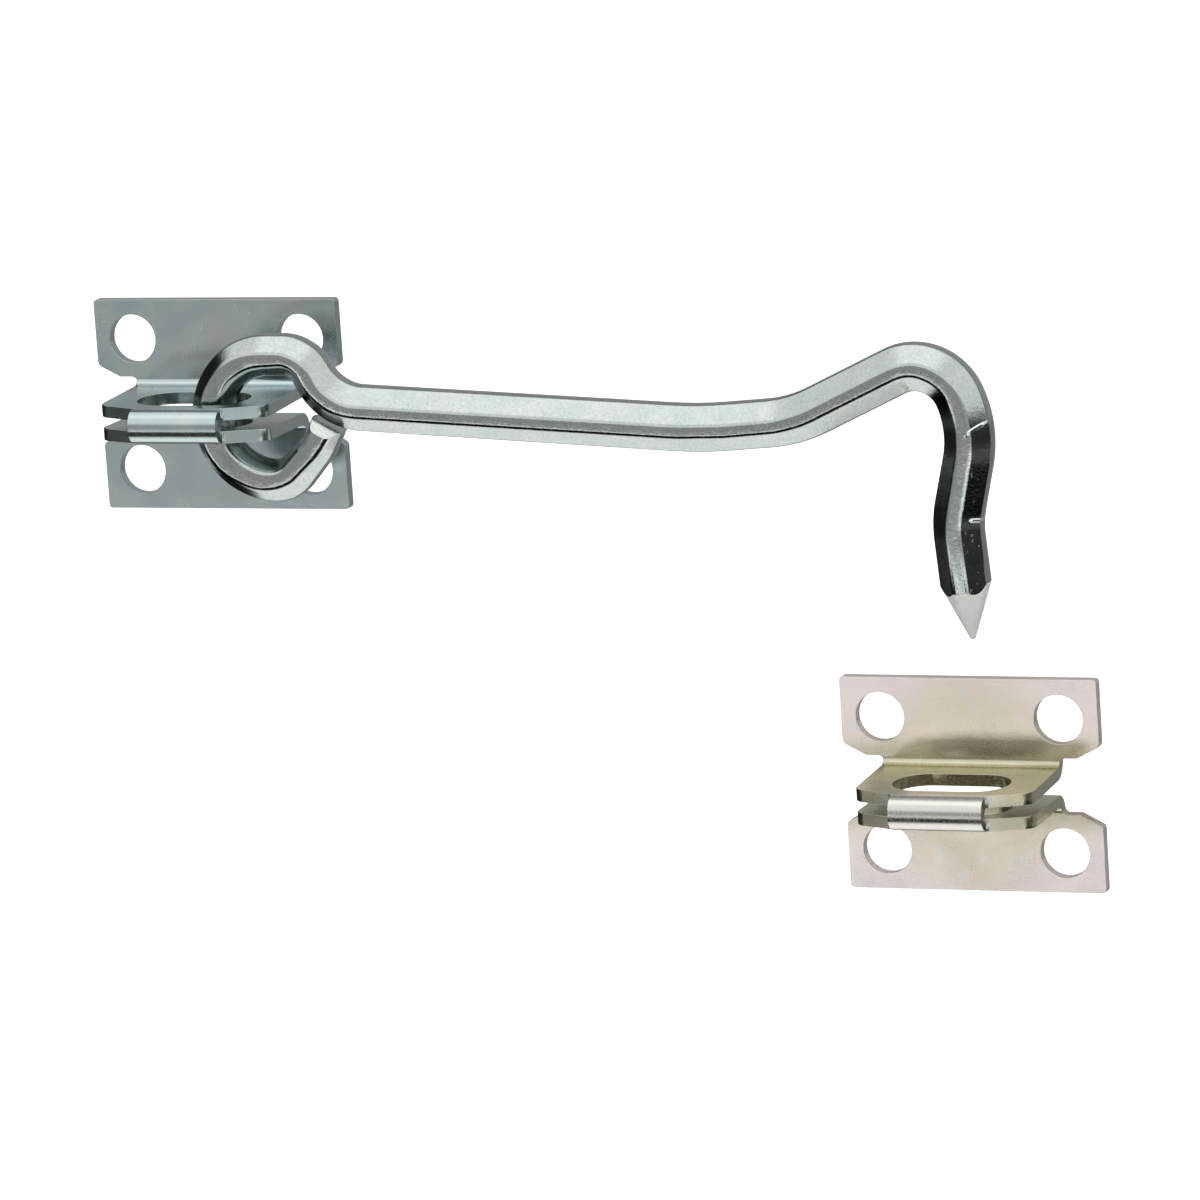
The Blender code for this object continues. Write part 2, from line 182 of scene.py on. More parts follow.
class Value:
    """A node's output socket. Arithmetic on it adds Math nodes."""

    def __init__(self, graph, socket):
        self.graph = graph
        self.socket = socket

    def math(self, operation, first, second=0.0):
        return self.graph.node("Math", {"operation": operation}, {0: first, 1: second})

    def __add__(self, other):
        return self.math("ADD", self, other)

    def __radd__(self, other):
        return self.math("ADD", other, self)

    def __sub__(self, other):
        return self.math("SUBTRACT", self, other)

    def __rsub__(self, other):
        return self.math("SUBTRACT", other, self)

    def __mul__(self, other):
        return self.math("MULTIPLY", self, other)

    def __rmul__(self, other):
        return self.math("MULTIPLY", other, self)

    def __truediv__(self, other):
        return self.math("DIVIDE", self, other)

    def __rtruediv__(self, other):
        return self.math("DIVIDE", other, self)

    def __neg__(self):
        return self.math("MULTIPLY", self, -1.0)

    def __pow__(self, other):
        return self.math("POWER", self, other)

    def __abs__(self):
        return self.math("ABSOLUTE", self)


class Graph:
    """The node tree of a material or of the world."""

    def __init__(self, tree):
        self.tree = tree
        self.tree.nodes.clear()

    def put(self, socket, value):
        if isinstance(value, Value):
            self.tree.links.new(value.socket, socket)
        elif socket.type == "RGBA" and len(value) == 3:
            socket.default_value = (*value, 1.0)
        else:
            socket.default_value = value

    def node(self, kind, settings=None, sockets=None, output=0):
        """One node: its settings first, then the values or links of its sockets."""
        made = self.tree.nodes.new("ShaderNode" + kind)
        for name, value in (settings or {}).items():
            if name == "stops":
                self.set_stops(made.color_ramp, value)
            else:
                setattr(made, name, value)
        for name, value in (sockets or {}).items():
            self.put(made.inputs[name], value)
        return Value(self, made.outputs[output]) if made.outputs else None

    def set_stops(self, ramp, stops):
        while len(ramp.elements) < len(stops):
            ramp.elements.new(1.0)
        for element, (position, value) in zip(ramp.elements, stops):
            element.position = position
            element.color = (value, value, value, 1.0)

    def place(self):
        return self.node("TexCoord", output="Object")

    def axes(self, vector=None):
        """The three coordinates of a vector, or of the place on the piece."""
        source = vector or self.place()
        return [self.node("SeparateXYZ", {}, {0: source}, output=axis) for axis in range(3)]

    def stretched(self, scale, turn=(0.0, 0.0, 0.0), shift=(0.0, 0.0, 0.0)):
        """Object coordinates, turned and scaled."""
        sockets = {"Vector": self.place(), "Scale": scale, "Rotation": turn, "Location": shift}
        return self.node("Mapping", {}, sockets)

    def noise(self, vector, size, detail=3.0, rough=0.5):
        """Noise whose blotches measure about size metres."""
        sockets = {"Vector": vector, "Scale": 1.0 / size, "Detail": detail, "Roughness": rough}
        return self.node("TexNoise", {}, sockets)

    def smooth(self, value, low, high):
        """0 below low, 1 above high, smooth between."""
        settings = {"interpolation_type": "SMOOTHSTEP"}
        return self.node("MapRange", settings, {"Value": value, "From Min": low, "From Max": high})

    def mix(self, factor, first, second):
        """From the first colour to the second as the factor grows."""
        return self.node("Mix", {"data_type": "RGBA"}, {0: factor, 6: first, 7: second}, output=2)

    def dimmed(self, hue, factor):
        """A colour times a number."""
        return self.node("VectorMath", {"operation": "SCALE"}, {0: hue, "Scale": factor})

    def bump(self, height, distance):
        return self.node("Bump", {}, {"Height": height, "Distance": distance, "Strength": 1.0})

    def surface(self, sockets):
        shader = self.node("BsdfPrincipled", {}, sockets)
        self.node("OutputMaterial", {}, {"Surface": shader})


def material_graph(name):
    material = bpy.data.materials.new(name)
    material.use_nodes = True
    return material, Graph(material.node_tree)


def grain(graph, along):
    """Fine rolling lines that run along one axis (0, 1 or 2), and fine grain in every direction."""
    scale = [1.0, 1.0, 1.0]
    scale[along] = 0.06
    lines = graph.noise(graph.stretched(tuple(scale)), 0.22 * MM, detail=4.0, rough=0.6)
    specks = graph.noise(graph.place(), 0.12 * MM, detail=2.0)
    return lines, specks


def zinc_plate(name, colours):
    """Blue-grey zinc on sheet: cloudy, with fine rolling lines and small handling marks."""
    material, graph = material_graph(name)
    lines, specks = grain(graph, 0)
    cloud = graph.noise(graph.place(), 5.0 * MM, detail=4.0, rough=0.6)
    scratches = graph.stretched((1.0, 1.0, 0.25), turn=(0.0, 0.5, 0.0))
    marks = graph.noise(scratches, 0.35 * MM, detail=5.0)
    scuffed = graph.smooth(marks, 0.62, 0.72) * graph.smooth(cloud, 0.45, 0.62)
    tone = 0.86 + cloud * 0.22 + lines * 0.05
    tinted = graph.mix(graph.smooth(cloud, 0.45, 0.8), colours.plate, colours.plate_cloud)
    stains = graph.noise(graph.stretched((1.0, 1.0, 1.0), shift=(0.02, 0.0, 0.05)), 9.0 * MM)
    tinted = graph.mix(graph.smooth(stains, 0.5, 0.72) * 0.7, tinted, colours.plate_warm)
    graph.surface({
        "Base Color": graph.dimmed(tinted, tone),
        "Metallic": 1.0,
        "Roughness": 0.19 + cloud * 0.10 + scuffed * 0.14,
        "Normal": graph.bump(lines * 0.5 + specks * 0.3 + scuffed * 0.5, 0.006 * MM),
    })
    return material


def nick_ridge_and_highlight(graph, spot, turn, reach):
    """A short raised line across the bar, 1 on its crest, that slopes by the angle turn. It gives
    the nick its bump and also a painted highlight along its crest.
    """
    bow = 60.0
    x, y, z = graph.axes()
    along = (x - spot.x) * math.cos(turn) + (z - spot.z) * math.sin(turn)
    across = (z - spot.z) * math.cos(turn) - (x - spot.x) * math.sin(turn)
    ridge_and_highlight = 1.0 - graph.smooth(abs(across + along * along * bow), 0.1 * MM, 0.34 * MM)
    return ridge_and_highlight * (1.0 - graph.smooth(abs(along), reach * 0.45, reach))


def zinc_bar(name, colours, nicks_and_highlights):
    """Bright zinc on the pressed bar: grainy, with small dents from the press and raised nicks
    whose crests carry a painted highlight.
    """
    material, graph = material_graph(name)
    specks = graph.noise(graph.place(), 0.15 * MM, detail=2.0)
    spangle = graph.noise(graph.place(), 0.4 * MM, detail=4.0, rough=0.7)
    cloud = graph.noise(graph.place(), 3.5 * MM, detail=4.0, rough=0.6)
    pits = graph.smooth(graph.noise(graph.stretched((1.0, 1.0, 0.55)), 0.5 * MM), 0.69, 0.74)
    ridge_and_highlight = sum(nick_ridge_and_highlight(graph, *nick_and_highlight) for nick_and_highlight in nicks_and_highlights)
    tone = 0.58 + cloud * 0.22 + spangle * 0.60
    tinted = graph.mix(graph.smooth(cloud, 0.4, 0.7), colours.bar, colours.bar_cloud)
    relief = specks * 0.3 + spangle * 2.2 + cloud * 3.0 - pits * 1.6 + ridge_and_highlight * 20.0
    graph.surface({
        # The nicks' crests lighten the base colour: a painted highlight beside their real bump.
        "Base Color": graph.dimmed(tinted, tone + ridge_and_highlight * 0.8),
        "Metallic": 1.0,
        "Roughness": 0.06 + cloud * 0.04 + spangle * 0.07 + pits * 0.15,
        "Normal": graph.bump(relief, 0.008 * MM),
    })
    return material


def turned_point(name, colours):
    """The turned cone: duller, with fine rings round it."""
    material, graph = material_graph(name)
    rings = graph.noise(graph.stretched((0.1, 0.1, 1.0)), 0.12 * MM, detail=3.0)
    cloud = graph.noise(graph.place(), 1.6 * MM, detail=4.0)
    graph.surface({
        "Base Color": graph.dimmed(colours.point, 0.82 + cloud * 0.3),
        "Metallic": 0.1,
        "Roughness": 0.5 + cloud * 0.12,
        "Normal": graph.bump(rings + cloud * 0.6, 0.025 * MM),
    })
    return material


def passivated_plate(name, colours, centre, half):
    """Warm passivated zinc: rose towards the plate's ends, and at the fold and on the ears a darker
    olive that is partly the zinc's own tint and partly painted shade in the fold.
    """
    material, graph = material_graph(name)
    lines, specks = grain(graph, 0)
    cloud = graph.noise(graph.place(), 7.0 * MM, detail=4.0, rough=0.6)
    blotch = graph.noise(graph.stretched((1.0, 1.0, 1.0), shift=(0.03, 0.01, 0.02)), 4.0 * MM)
    x, y, z = graph.axes()
    height = abs(z - centre.z) / half.z
    sideways = abs(x - centre.x) / half.x
    outer = graph.smooth(height * 0.7 + sideways * 0.55 + cloud * 0.5, 0.75, 1.35)
    patches = graph.smooth(graph.noise(graph.place(), 2.2 * MM, detail=4.0, rough=0.65), 0.52, 0.7)
    # inner is 1 near the fold's height: there the hue turns to a darker olive, partly the
    # passivation's tint and partly painted shade in the fold.
    inner = 1.0 - graph.smooth(height + blotch * 0.25, 0.32, 0.62)
    front = 1.0 - graph.smooth(y - centre.y, -8.0 * MM, -6.0 * MM)
    hue = graph.mix(outer, colours.straw, colours.rose)
    hue = graph.mix(patches * 0.5, hue, colours.lilac)
    hue = graph.mix(inner, hue, colours.olive_and_fold_shade)
    hue = graph.mix(front, hue, colours.strip)
    scuffed = graph.smooth(specks + cloud * 0.3, 0.72, 0.85)
    graph.surface({
        "Base Color": graph.dimmed(hue, 0.84 + cloud * 0.18 + specks * 0.16),
        "Metallic": 1.0,
        "Roughness": 0.18 + cloud * 0.12 + scuffed * 0.1,
        "Normal": graph.bump(lines * 0.5 + specks * 0.3, 0.006 * MM),
    })
    return material


# Mesh helpers

def verts_of(geometry):
    return [item for item in geometry if isinstance(item, bmesh.types.BMVert)]


def piece(name, mesh_data, materials, sharp=None):
    """An object at the origin, from a bmesh whose vertices are in their place."""
    mesh = bpy.data.meshes.new(name)
    mesh_data.to_mesh(mesh)
    mesh_data.free()
    mesh.shade_smooth()
    if sharp:
        mesh.set_sharp_from_angle(angle=math.radians(sharp))
    for material in materials:
        mesh.materials.append(material)
    item = bpy.data.objects.new(name, mesh)
    bpy.context.scene.collection.objects.link(item)
    return item


def carve(target, cutter):
    """Take the cutter out of the target for good, and delete the cutter."""
    modifier = target.modifiers.new("cut", "BOOLEAN")
    modifier.operation = "DIFFERENCE"
    modifier.solver = "EXACT"
    modifier.material_mode = "TRANSFER"
    modifier.object = cutter
    graph = bpy.context.evaluated_depsgraph_get()
    mesh = bpy.data.meshes.new_from_object(target.evaluated_get(graph))
    target.modifiers.clear()
    target.data = mesh
    bpy.data.objects.remove(cutter, do_unlink=True)


def even_normals(item):
    """Keep wide flat faces flat beside the small rounds at their edges."""
    modifier = item.modifiers.new("even normals", "WEIGHTED_NORMAL")
    modifier.weight = 100
    modifier.keep_sharp = True


def fillet(before, corner, after, radius, steps):
    """Points of the arc that rounds a corner between its two neighbours."""
    back = (before - corner).normalized()
    ahead = (after - corner).normalized()
    half = back.angle(ahead) / 2
    centre = corner + (back + ahead).normalized() * radius / math.sin(half)
    spoke = corner + back * radius / math.tan(half) - centre
    turn = math.copysign(math.pi - 2 * half, ahead.cross(back))
    return [centre + Matrix.Rotation(turn * step / steps, 2) @ spoke for step in range(steps + 1)]


def bend_path(corners, arc_step):
    """Line through corners (u, v, bend radius), and each corner's index among its points."""
    points = [Vector(corners[0][:2])]
    middles = [0]
    for before, corner, after in zip(corners, corners[1:], corners[2:]):
        spots = [Vector(spot[:2]) for spot in (before, corner, after)]
        turn = (spots[1] - spots[0]).angle(spots[2] - spots[1])
        steps = 2 * math.ceil(turn / arc_step / 2)
        for step, point in enumerate(fillet(*spots, corner[2], steps)):
            if (point - points[-1]).length > 0.01 * MM:
                points.append(point)
            if step == steps // 2:
                middles.append(len(points) - 1)
    points.append(Vector(corners[-1][:2]))
    middles.append(len(points) - 1)
    return points, middles


def arc(centre, radius, start, stop, steps):
    x, y = centre
    angles = [start + (stop - start) * step / steps for step in range(steps + 1)]
    return [Vector((x + radius * math.cos(a), y + radius * math.sin(a))) for a in angles]


# Folded plates

class FoldedSheet:
    """The middle line of the folded sheet, which carries the flat blank into its folded place."""

    def __init__(self, sizes, height, reach):
        wall = -sizes.sheet / 2
        strip = reach + sizes.sheet / 2
        ear_back = (sizes.ear_gap_back + sizes.sheet) / 2
        ear_front = (sizes.ear_gap_front + sizes.sheet) / 2
        nearly_round = 0.97
        upper = [
            (wall, height / 2, 0.0),
            (wall, ear_back, sizes.fold_radius + sizes.sheet / 2),
            (strip, ear_front, nearly_round * ear_front),
        ]
        lower = [(y, -z, bend) for y, z, bend in reversed(upper)]
        points = bend_path(upper + lower, math.radians(3))[0]
        self.y = numpy.array([point.x for point in points])
        self.z = numpy.array([point.y for point in points])
        steps = numpy.hypot(numpy.diff(self.y), numpy.diff(self.z))
        self.along = numpy.concatenate([[0.0], numpy.cumsum(steps)])
        self.total = self.along[-1]
        heading = numpy.unwrap(numpy.arctan2(numpy.diff(self.z), numpy.diff(self.y)))
        joins = (heading[1:] + heading[:-1]) / 2
        self.heading = numpy.concatenate([heading[:1], joins, heading[-1:]])

    def at_depth(self, y):
        """How far along the blank the upper ear's middle line reaches the depth y."""
        middle = len(self.y) // 2
        return float(numpy.interp(-y, -self.y[:middle + 1], self.along[:middle + 1]))

    def fold(self, mesh_data, centre):
        """Move a blank's vertices (x, along, thickness) to their place on the folded sheet."""
        for vert in mesh_data.verts:
            x, along, depth = vert.co
            heading = float(numpy.interp(along, self.along, self.heading))
            y = float(numpy.interp(along, self.along, self.y)) - depth * math.sin(heading)
            z = float(numpy.interp(along, self.along, self.z)) + depth * math.cos(heading)
            vert.co = centre + Vector((x, y, z))


def blank_outline(sizes, sheet, half_width, half_height):
    """Outline of the flat blank (x, along), clockwise from the middle of its top edge."""
    half_ear = sizes.ear_width / 2
    half_strip = sizes.strip_width / 2
    side_end = Vector((half_width, half_height - sizes.side_end))
    shoulder = Vector((half_ear + sizes.shoulder_run, half_height - sizes.shoulder_height))
    inner = Vector((half_ear, shoulder.y))
    ear_end = Vector((half_ear, sheet.at_depth(-sizes.sheet - sizes.ear_side)))
    strip_face = float(min(sheet.y)) - sizes.sheet / 2
    step = Vector((half_strip, sheet.at_depth(strip_face + sizes.strip_step + sizes.sheet / 2)))
    top = Vector((half_width, 0.0))
    right = fillet(Vector((0.0, 0.0)), top, side_end, sizes.corner_round, 5)
    right += fillet(top, side_end, shoulder, sizes.shoulder_round, 4)
    right += fillet(side_end, shoulder, inner, sizes.shoulder_round, 3)
    right += fillet(shoulder, inner, ear_end, sizes.relief, 8)
    right += fillet(inner, ear_end, step, sizes.ear_round, 10)
    right.append(step)
    right += [Vector((x, sheet.total - along)) for x, along in reversed(right)]
    return right + [Vector((-x, along)) for x, along in reversed(right)]


def prism(mesh_data, outline, low, high):
    """A closed outline drawn from one height to another."""
    face = mesh_data.faces.new([mesh_data.verts.new((u, v, low)) for u, v in outline])
    made = bmesh.ops.extrude_face_region(mesh_data, geom=[face])["geom"]
    bmesh.ops.translate(mesh_data, vec=(0.0, 0.0, high - low), verts=verts_of(made))


def blank_cutter(sizes, sheet, half_width, half_height):
    """Screw holes and slots, as they are punched in the flat blank."""
    mesh_data = bmesh.new()
    proud = 2 * sizes.sheet
    hole_x = half_width - sizes.hole_inset
    slot = sheet.at_depth(-sizes.sheet - sizes.slot_reach)
    round_end = sizes.slot_length / 2 - sizes.slot_width / 2
    ends = ((sizes.hole_inset, slot), (sheet.total - sizes.hole_inset, sheet.total - slot))
    for along, middle in ends:
        for x in (-hole_x, hole_x):
            prism(mesh_data, arc((x, along), sizes.hole / 2, 0.0, math.tau, 64)[:-1], -proud, proud)
        right = arc((round_end, middle), sizes.slot_width / 2, -math.pi / 2, math.pi / 2, 32)
        left = arc((-round_end, middle), sizes.slot_width / 2, math.pi / 2, 1.5 * math.pi, 32)
        prism(mesh_data, right + left, -proud, proud)
    bmesh.ops.recalc_face_normals(mesh_data, faces=mesh_data.faces)
    return piece("blank_cutter", mesh_data, [])


def folded_plate(name, sizes, low, high, material):
    """One plate: a flat blank is punched, its edges rounded, and then it is folded."""
    width, height = high.x - low.x, high.z - low.z
    sheet = FoldedSheet(sizes, height, low.y - high.y)
    mesh_data = bmesh.new()
    outline = blank_outline(sizes, sheet, width / 2, height / 2)
    prism(mesh_data, outline, -sizes.sheet / 2, sizes.sheet / 2)
    bmesh.ops.recalc_face_normals(mesh_data, faces=mesh_data.faces)
    blank = piece(name + "_blank", mesh_data, [])
    carve(blank, blank_cutter(sizes, sheet, width / 2, height / 2))
    mesh_data = bmesh.new()
    mesh_data.from_mesh(blank.data)
    bpy.data.objects.remove(blank, do_unlink=True)
    rims = [
        edge for edge in mesh_data.edges
        if len(edge.link_faces) == 2
        and any(abs(face.normal.z) > 0.9 for face in edge.link_faces)
        and any(abs(face.normal.z) < 0.1 for face in edge.link_faces)
    ]
    bmesh.ops.bevel(
        mesh_data,
        geom=rims,
        affect="EDGES",
        offset=sizes.edge,
        offset_type="OFFSET",
        segments=3,
        profile=0.5,
        clamp_overlap=True,
        material=-1,
    )
    for along in sheet.along[1:-1]:
        everything = mesh_data.verts[:] + mesh_data.edges[:] + mesh_data.faces[:]
        bmesh.ops.bisect_plane(
            mesh_data,
            geom=everything,
            dist=0.001 * MM,
            plane_co=(0.0, along, 0.0),
            plane_no=(0.0, 1.0, 0.0),
        )
    centre = Vector(((low.x + high.x) / 2, high.y, (low.z + high.z) / 2))
    sheet.fold(mesh_data, centre)
    bmesh.ops.recalc_face_normals(mesh_data, faces=mesh_data.faces)
    plate = piece(name, mesh_data, [material], sharp=35)
    even_normals(plate)
    return plate


# Hook

def hook_corners(sizes, web_corner):
    """Corners of the bar's middle line: x, z, bend, and the bar's width, flat and flat's shift."""
    slack = 1.45 * MM
    radius = web_corner + slack + sizes.eye_bar / 2
    roof = Vector((5.0 * MM, radius))
    stretches = (
        # length in mm, slope in degrees, bend, width, flat and the flat's shift in mm
        (8.0, -62.7, 8.0, sizes.shank_bar - 0.2 * MM, 1.55, -0.2),
        (53.0, -3.25, 60.0, sizes.shank_bar, 1.55, -0.2),
        (13.4, 4.4, 20.0, sizes.shank_bar, 1.55, -0.2),
        (22.8, 25.3, 6.5, sizes.shank_bar, 1.7, -0.1),
        (11.6, -69.3, 14.6, sizes.leg_bar - 0.1 * MM, 1.8, 0.0),
        (12.6, -103.3, 14.7, sizes.leg_bar, 1.9, 0.0),
        (16.1, -85.7, 0.0, sizes.leg_bar, 1.9, 0.0),
    )
    shank = [(roof.x, roof.y, 4.5 * MM, sizes.eye_bar, 1.5 * MM, -0.3 * MM)]
    for run, slope, bend, width, flat, shift in stretches:
        x = shank[-1][0] + run * MM * math.cos(math.radians(slope))
        z = shank[-1][1] + run * MM * math.sin(math.radians(slope))
        shank.append((x, z, bend * MM, width, flat * MM, shift * MM))
    floor = Vector((1.9 * MM, -radius))
    end, knee = tail(sizes, floor, bend_path([(0.0, radius, 0.0)] + shank, math.radians(3))[0])
    eye = [
        (*end, 0.0, sizes.tail_bar, 3.0 * MM, 0.0),
        (*knee, 6.0 * MM, sizes.tail_bar, 2.6 * MM, -0.2 * MM),
        (*floor, 4.5 * MM, sizes.eye_bar, 2.2 * MM, -0.4 * MM),
        (-radius, -radius, radius, sizes.eye_bar, 3.0 * MM, -0.2 * MM),
        (-radius, radius, radius, sizes.eye_bar, 2.6 * MM, -0.3 * MM),
    ]
    return eye + shank


def tail(sizes, floor, neck):
    """End and knee of the eye's tail, which rises as far as the neck above it allows."""
    rise_slope, end_slope = math.radians(45.6), math.radians(62)
    longest, halvings, neck_gap = 17.0 * MM, 24, 0.35 * MM
    rise = Vector((math.cos(rise_slope), math.sin(rise_slope)))
    run = Vector((math.cos(end_slope), math.sin(end_slope))) * 3.4 * MM
    across = run.orthogonal().normalized() * sizes.tail_bar / 2
    clear, blocked = 0.0, longest
    for _ in range(halvings):
        rising = (clear + blocked) / 2
        end = floor + rise * rising + run
        gap = min((end + side * across - point).length for side in (-1, 0, 1) for point in neck)
        if gap > sizes.shank_bar / 2 + neck_gap:
            clear = rising
        else:
            blocked = rising
    knee = floor + rise * clear
    return knee + run, knee


def bar_section(sizes, width, flat, shift):
    """Section of the pressed wire (across, depth), with small rounds beside its flats."""
    half = sizes.depth / 2
    rounding = arc((width / 2 - sizes.wire, 0.0), sizes.wire, -sizes.side_arc, sizes.side_arc, 6)
    left, right = Vector((shift - flat / 2, -half)), Vector((shift + flat / 2, -half))
    side = []
    for outer in (1, -1):
        flat_corner = right if outer > 0 else left
        other = left if outer > 0 else right
        curve = [Vector((outer * spot.x, spot.y)) for spot in rounding]
        edge = fillet(other, flat_corner, curve[0], sizes.flat_edge, 4)
        bevel_end = fillet(flat_corner, curve[0], curve[1], sizes.side_edge, 3)
        side.append(edge + bevel_end + curve[2:4])
    half_ring = list(reversed(side[1])) + side[0]
    return half_ring + [Vector((spot.x, -spot.y)) for spot in reversed(half_ring[1:-1])]


def wander(lengths, pitch, lane):
    """Smooth noise along the bar, whose swings are about a pitch long."""
    return numpy.array([noise.noise((along / pitch, lane, 0.5)) for along in lengths])


def bar_rings(sizes, corners):
    """The bar's section at each station of its middle line, and that line's points."""
    points, middles = bend_path(corners, math.radians(2.5))
    lengths = numpy.cumsum([0.0] + [(b - a).length for a, b in zip(points, points[1:])])
    keys = lengths[middles]
    widths, flats, shifts = (
        numpy.interp(lengths, keys, [corner[column] for corner in corners]) for column in (3, 4, 5)
    )
    flats += sizes.waver * wander(lengths, 4.0 * MM, 0.0)
    shifts += sizes.waver * wander(lengths, 3.0 * MM, 5.0)
    rings = []
    for index, point in enumerate(points):
        before = points[max(index - 1, 0)]
        after = points[min(index + 1, len(points) - 1)]
        run = ((point - before).normalized() + (after - point).normalized()).normalized()
        across = Vector((-run.y, run.x))
        section = bar_section(sizes, widths[index], flats[index], shifts[index])
        spots = [(point + across * spot.x, spot.y) for spot in section]
        rings.append([EYE + Vector((spot.x, depth, spot.y)) for spot, depth in spots])
    return rings, points


def extend(mesh_data, loop, ring):
    """Extrude a closed loop of vertices, and move the copies onto the next ring of points."""
    edges = [mesh_data.edges.get(pair) for pair in zip(loop, loop[1:] + loop[:1])]
    fresh = set(verts_of(bmesh.ops.extrude_edge_only(mesh_data, edges=edges)["geom"]))
    copies = []
    for vert, place in zip(loop, ring):
        others = [edge.other_vert(vert) for edge in vert.link_edges]
        copy = next(other for other in others if other in fresh)
        copy.co = place
        copies.append(copy)
    return copies


def chamfer_tail(sizes, mesh_data, points):
    """Take the front edge off the eye's cut end, while the mesh is only its first stretch."""
    run = (points[0] - points[1]).normalized()
    outwards = Vector((run.x, -1.0, run.y)).normalized()
    edge = EYE + Vector((points[0].x, sizes.tail_chamfer - sizes.depth / 2, points[0].y))
    everything = mesh_data.verts[:] + mesh_data.edges[:] + mesh_data.faces[:]
    sliced = bmesh.ops.bisect_plane(
        mesh_data, geom=everything, plane_co=edge, plane_no=outwards, clear_outer=True
    )
    rim = [item for item in sliced["geom_cut"] if isinstance(item, bmesh.types.BMEdge)]
    bmesh.ops.edgeloop_fill(mesh_data, edges=rim)


def point_cutter(sizes, tip, run, materials):
    """Everything round the cone of the hook's point, turned about the leg's end."""
    mesh_data = bmesh.new()
    slope = (sizes.leg_bar / 2 - sizes.tip) / sizes.cone
    proud = 3.0 * MM
    outer = sizes.leg_bar + proud
    lean = math.atan(slope)
    dome = arc((0.0, sizes.tip), sizes.tip, -math.pi / 2, -lean, 8)
    start = dome[-1]
    profile = [(0.0, -proud), (outer, -proud), (outer, start.y + (outer - start.x) / slope)]
    profile += [tuple(spot) for spot in reversed(dome)]
    profile[-1] = (0.0, 0.0)
    verts = [mesh_data.verts.new((radius, 0.0, height)) for radius, height in profile]
    edges = [mesh_data.edges.new(pair) for pair in zip(verts, verts[1:])]
    bmesh.ops.spin(
        mesh_data,
        geom=verts + edges,
        axis=(0, 0, 1),
        cent=(0, 0, 0),
        angle=math.tau,
        steps=96,
        use_merge=True,
    )
    bmesh.ops.remove_doubles(mesh_data, verts=mesh_data.verts, dist=0.0005 * MM)
    bmesh.ops.recalc_face_normals(mesh_data, faces=mesh_data.faces)
    for face in mesh_data.faces:
        face.material_index = 1
    turn = Vector((-run.x, 0.0, -run.y)).to_track_quat("Z", "Y").to_matrix().to_4x4()
    place = Matrix.Translation(EYE + Vector((tip.x, 0.0, tip.y)))
    bmesh.ops.transform(mesh_data, matrix=place @ turn, verts=mesh_data.verts)
    return piece("point_cutter", mesh_data, materials)


def hook_bar(name, sizes, web_corner, materials):
    """The bent bar: its eye's end has a chamfered edge, and its other end is turned to a point."""
    rings, points = bar_rings(sizes, hook_corners(sizes, web_corner))
    mesh_data = bmesh.new()
    loop = [mesh_data.verts.new(spot) for spot in rings[0]]
    mesh_data.faces.new(loop)
    loop = extend(mesh_data, loop, rings[1])
    chamfer_tail(sizes, mesh_data, points)
    for ring in rings[2:]:
        loop = extend(mesh_data, loop, ring)
    mesh_data.faces.new(loop)
    bmesh.ops.recalc_face_normals(mesh_data, faces=mesh_data.faces)
    hook = piece(name, mesh_data, materials, sharp=35)
    run = (points[-1] - points[-2]).normalized()
    carve(hook, point_cutter(sizes, points[-1], run, materials))
    hook.data.set_sharp_from_angle(angle=math.radians(35))
    even_normals(hook)
    return hook


# Stage

# Brightness of the studio at the height of the horizon, by the angle from straight in front: a grey
# card in front, a pale one right of it, black cloths at both sides, and grey behind
HORIZON = (
    (-180, 0.42), (-150, 0.36), (-134, 0.02), (-66, 0.02), (-48, 0.44), (17, 0.44),
    (27, 0.60), (43, 0.50), (51, 0.04), (88, 0.04), (112, 0.40), (180, 0.42),
)
# Height (sine of the elevation) from which the bright ceiling is seen, by the same angle
CEILING = (
    (-180, 0.93), (-128, 0.92), (-108, 0.60), (-66, 0.45), (-46, 0.26), (22, 0.26),
    (36, 0.15), (75, 0.02), (104, 0.6), (135, 0.92), (180, 0.93),
)
# How bright the cards on the floor are, as a share of the horizon's brightness, by the distance
# from below the hook in metres: a dark gap, a bright card, a dim one, then about the horizon's own
RINGS = (
    (0.2, 0.012), (0.78, 0.012), (0.84, 3.8), (1.14, 3.8),
    (1.22, 0.3), (1.46, 0.3), (1.56, 0.96), (2.0, 1.0),
)
RINGS_END = 2.0
# The ceiling, and the plain backdrop that the camera sees
BRIGHT = (1.12, 1.12, 1.12)
# Where the cards on the floor and the plain floor lie below the object, and how far both reach
CARDS_DROP = 0.25
FLOOR_DROP = 0.26
FLOOR_REACH = 6.0


def by_angle(graph, angle, table):
    """A value that changes with the angle (radians) as the table of degrees says."""
    stops = [((turn + 180) / 360, value) for turn, value in table]
    return graph.node("ValToRGB", {"stops": stops}, {0: angle / math.tau + 0.5})


def around(graph, x, y):
    """Angle from straight in front, positive to the right."""
    return graph.node("Math", {"operation": "ARCTAN2"}, {0: x, 1: -y})


def wide_disc(name, drop, material):
    """Wide level disc at a distance below the hook."""
    mesh_data = bmesh.new()
    place = Matrix.Translation((0.0, 0.0, CAD_BOX[0][2] - drop))
    bmesh.ops.create_circle(
        mesh_data, cap_ends=True, segments=96, radius=FLOOR_REACH, matrix=place
    )
    disc = piece(name, mesh_data, [material])
    return disc


def floor_finish(colour):
    """Plain pale floor, evenly lit."""
    material, graph = material_graph("pale_floor")
    graph.surface({
        "Base Color": colour,
        "Roughness": 0.9,
        "Specular IOR Level": 0.0,
        "Emission Color": colour,
        "Emission Strength": 1.1,
    })
    return material


